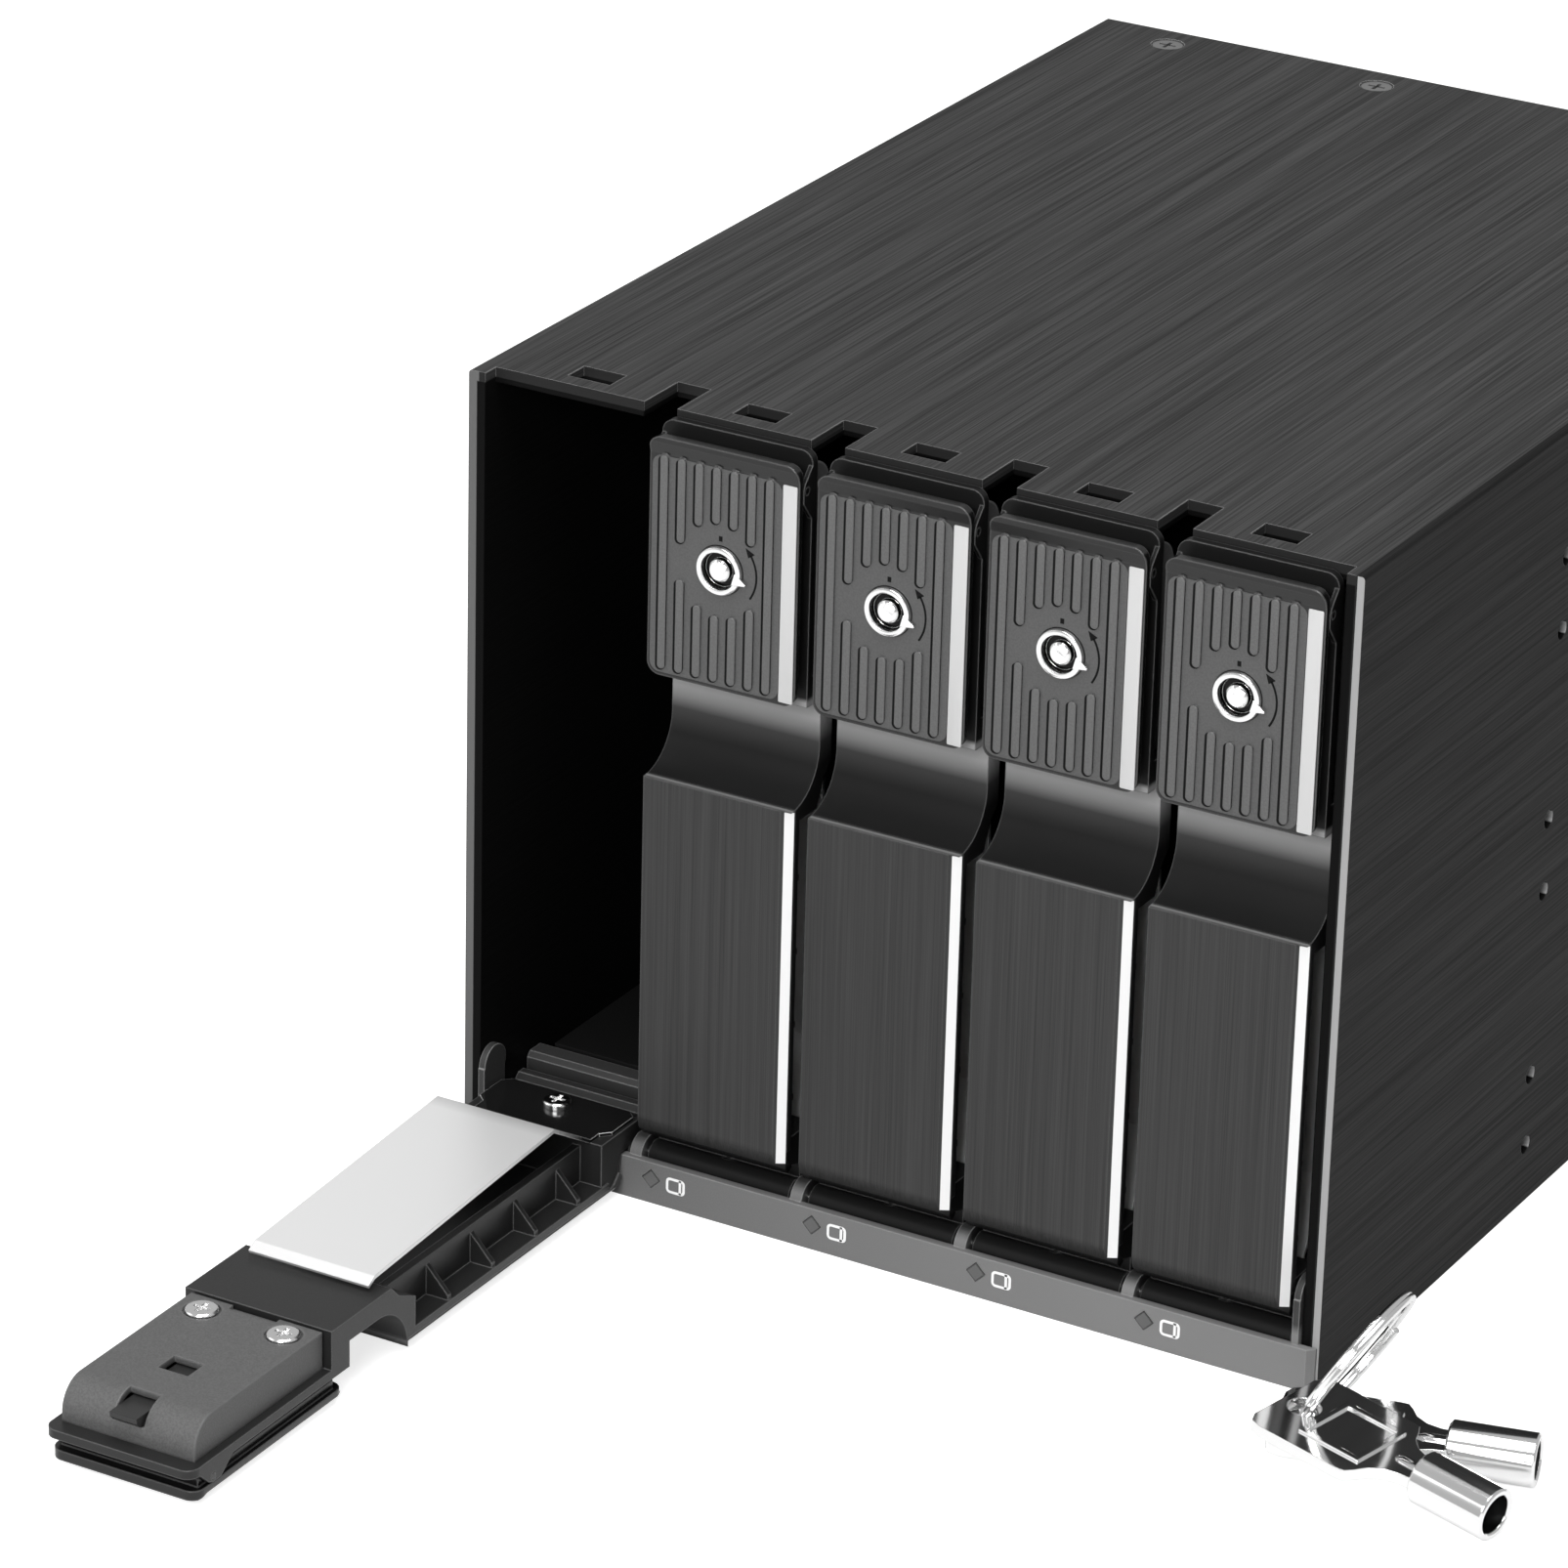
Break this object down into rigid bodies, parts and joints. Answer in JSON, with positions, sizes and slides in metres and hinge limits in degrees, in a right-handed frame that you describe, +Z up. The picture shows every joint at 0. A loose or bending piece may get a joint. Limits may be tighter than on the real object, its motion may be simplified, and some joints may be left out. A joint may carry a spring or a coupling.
{
  "type": "hot swap drive cage",
  "caption": "Black metal cage for swapping upright 3.5 inch drives, with locking spring doors that fold down, a backplane and a rear fan.",
  "frame": {"origin": "centre of the cage's underside, halfway between the side plates' front and rear edges", "axes": "+X to the right as seen from the front, +Y from the doors to the rear panel, +Z up"},
  "size_m": [0.1873, 0.3172, 0.127],
  "materials": {
    "shell": "brushed along its depth and anodised black",
    "door_face": "brushed upright and anodised black, one bright cut edge",
    "sheet_steel": "black powder coat",
    "bezel": "fine spark texture, dark grey",
    "lens": "smoked clear",
    "inner_plastic": "black moulding",
    "door_plastic": "satin black moulding",
    "cover_plastic": "fine spark texture, dark grey",
    "lever_plastic": "satin black moulding, gloss rim",
    "hook_plastic": "satin",
    "leaf_steel": "bright rolled spring strip",
    "bright_steel": "ground rod",
    "screw": "nickel plate",
    "dark_screw": "black zinc",
    "lock_chrome": "polished",
    "key_metal": "polished nickel plate",
    "board": "green solder mask",
    "connector": "black",
    "power_connector": "natural nylon",
    "fan_plastic": "black moulding",
    "guard_wire": "bright plated steel"
  },
  "bodies": {
    "cage": {"shell_cover": "shell", "bottom_plate": "sheet_steel", "front_bezel": "bezel", "hinge_rod": "bright_steel", "led_lenses": "lens", "drive_guides": "inner_plastic", "backplane_board": "board", "drive_sockets": "connector", "sata_ports": "connector", "power_sockets": "power_connector", "rear_panel": "sheet_steel", "fan_frame": "fan_plastic", "fan_guard": "guard_wire", "fan_screws": "screw", "roof_screws": "dark_screw", "key_1": "key_metal", "key_2": "key_metal", "key_ring": "key_metal"},
    "rotor": {"fan_rotor": "fan_plastic"},
    "door_1": {"door_1_frame": "door_plastic", "door_1_face": "door_face", "door_1_leaf_spring": "leaf_steel", "door_1_latch_cover": "cover_plastic", "door_1_screws": "screw"},
    "lever_1": {"latch_1_lever": "lever_plastic"},
    "hook_1": {"latch_1_hook": "hook_plastic"},
    "lock_1": {"lock_1_cylinder": "lock_chrome"},
    "door_2": {"door_2_frame": "door_plastic", "door_2_face": "door_face", "door_2_leaf_spring": "leaf_steel", "door_2_latch_cover": "cover_plastic", "door_2_screws": "screw"},
    "lever_2": {"latch_2_lever": "lever_plastic"},
    "hook_2": {"latch_2_hook": "hook_plastic"},
    "lock_2": {"lock_2_cylinder": "lock_chrome"},
    "door_3": {"door_3_frame": "door_plastic", "door_3_face": "door_face", "door_3_leaf_spring": "leaf_steel", "door_3_latch_cover": "cover_plastic", "door_3_screws": "screw"},
    "lever_3": {"latch_3_lever": "lever_plastic"},
    "hook_3": {"latch_3_hook": "hook_plastic"},
    "lock_3": {"lock_3_cylinder": "lock_chrome"},
    "door_4": {"door_4_frame": "door_plastic", "door_4_face": "door_face", "door_4_leaf_spring": "leaf_steel", "door_4_latch_cover": "cover_plastic", "door_4_screws": "screw"},
    "lever_4": {"latch_4_lever": "lever_plastic"},
    "hook_4": {"latch_4_hook": "hook_plastic"},
    "lock_4": {"lock_4_cylinder": "lock_chrome"},
    "door_5": {"door_5_frame": "door_plastic", "door_5_face": "door_face", "door_5_leaf_spring": "leaf_steel", "door_5_latch_cover": "cover_plastic", "door_5_screws": "screw"},
    "lever_5": {"latch_5_lever": "lever_plastic"},
    "hook_5": {"latch_5_hook": "hook_plastic"},
    "lock_5": {"lock_5_cylinder": "lock_chrome"}
  },
  "joints": [
    {"name": "fan_spin", "type": "hinge", "parent": "cage", "child": "rotor", "pos_m": [-0.024, 0.0835, 0.064], "axis": [0, 1, 0], "continuous": true},
    {"name": "door_1_hinge", "type": "hinge", "parent": "cage", "child": "door_1", "pos_m": [-0.056, -0.0975, 0.0063], "axis": [1, 0, 0], "range_deg": [-90, 0]},
    {"name": "lever_1_pivot", "type": "hinge", "parent": "door_1", "child": "lever_1", "pos_m": [-0.056, -0.2117, 0.0036], "axis": [-1, 0, 0], "range_deg": [0, 20], "stiffness_Nm_per_rad": 0.05, "springref_deg": -11.46},
    {"name": "hook_1_slide", "type": "slide", "parent": "door_1", "child": "hook_1", "axis": [0, 1, 0], "range_m": [0, 0.00196]},
    {"name": "lock_1_turn", "type": "hinge", "parent": "lever_1", "child": "lock_1", "pos_m": [-0.0564, -0.1972, 0.0028], "axis": [0, 0, 1], "range_deg": [0, 90]},
    {"name": "door_2_hinge", "type": "hinge", "parent": "cage", "child": "door_2", "pos_m": [-0.028, -0.0975, 0.0063], "axis": [1, 0, 0], "range_deg": [0, 90]},
    {"name": "lever_2_pivot", "type": "hinge", "parent": "door_2", "child": "lever_2", "pos_m": [-0.028, -0.1002, 0.1205], "axis": [-1, 0, 0], "range_deg": [0, 20], "stiffness_Nm_per_rad": 0.05, "springref_deg": -11.46},
    {"name": "hook_2_slide", "type": "slide", "parent": "door_2", "child": "hook_2", "axis": [0, 0, -1], "range_m": [0, 0.00196]},
    {"name": "lock_2_turn", "type": "hinge", "parent": "lever_2", "child": "lock_2", "pos_m": [-0.0284, -0.101, 0.106], "axis": [0, 1, 0], "range_deg": [0, 90]},
    {"name": "door_3_hinge", "type": "hinge", "parent": "cage", "child": "door_3", "pos_m": [0, -0.0975, 0.0063], "axis": [1, 0, 0], "range_deg": [0, 90]},
    {"name": "lever_3_pivot", "type": "hinge", "parent": "door_3", "child": "lever_3", "pos_m": [0, -0.1002, 0.1205], "axis": [-1, 0, 0], "range_deg": [0, 20], "stiffness_Nm_per_rad": 0.05, "springref_deg": -11.46},
    {"name": "hook_3_slide", "type": "slide", "parent": "door_3", "child": "hook_3", "axis": [0, 0, -1], "range_m": [0, 0.00196]},
    {"name": "lock_3_turn", "type": "hinge", "parent": "lever_3", "child": "lock_3", "pos_m": [-0.0004, -0.101, 0.106], "axis": [0, 1, 0], "range_deg": [0, 90]},
    {"name": "door_4_hinge", "type": "hinge", "parent": "cage", "child": "door_4", "pos_m": [0.028, -0.0975, 0.0063], "axis": [1, 0, 0], "range_deg": [0, 90]},
    {"name": "lever_4_pivot", "type": "hinge", "parent": "door_4", "child": "lever_4", "pos_m": [0.028, -0.1002, 0.1205], "axis": [-1, 0, 0], "range_deg": [0, 20], "stiffness_Nm_per_rad": 0.05, "springref_deg": -11.46},
    {"name": "hook_4_slide", "type": "slide", "parent": "door_4", "child": "hook_4", "axis": [0, 0, -1], "range_m": [0, 0.00196]},
    {"name": "lock_4_turn", "type": "hinge", "parent": "lever_4", "child": "lock_4", "pos_m": [0.0276, -0.101, 0.106], "axis": [0, 1, 0], "range_deg": [0, 90]},
    {"name": "door_5_hinge", "type": "hinge", "parent": "cage", "child": "door_5", "pos_m": [0.056, -0.0975, 0.0063], "axis": [1, 0, 0], "range_deg": [0, 90]},
    {"name": "lever_5_pivot", "type": "hinge", "parent": "door_5", "child": "lever_5", "pos_m": [0.056, -0.1002, 0.1205], "axis": [-1, 0, 0], "range_deg": [0, 20], "stiffness_Nm_per_rad": 0.05, "springref_deg": -11.46},
    {"name": "hook_5_slide", "type": "slide", "parent": "door_5", "child": "hook_5", "axis": [0, 0, -1], "range_m": [0, 0.00196]},
    {"name": "lock_5_turn", "type": "hinge", "parent": "lever_5", "child": "lock_5", "pos_m": [0.0556, -0.101, 0.106], "axis": [0, 1, 0], "range_deg": [0, 90]}
  ],
  "couplings": [
    {"joint": "hook_1_slide", "follows": "lever_1_pivot", "m_per_rad": 0.0056},
    {"joint": "hook_2_slide", "follows": "lever_2_pivot", "m_per_rad": 0.0056},
    {"joint": "hook_3_slide", "follows": "lever_3_pivot", "m_per_rad": 0.0056},
    {"joint": "hook_4_slide", "follows": "lever_4_pivot", "m_per_rad": 0.0056},
    {"joint": "hook_5_slide", "follows": "lever_5_pivot", "m_per_rad": 0.0056}
  ]
}
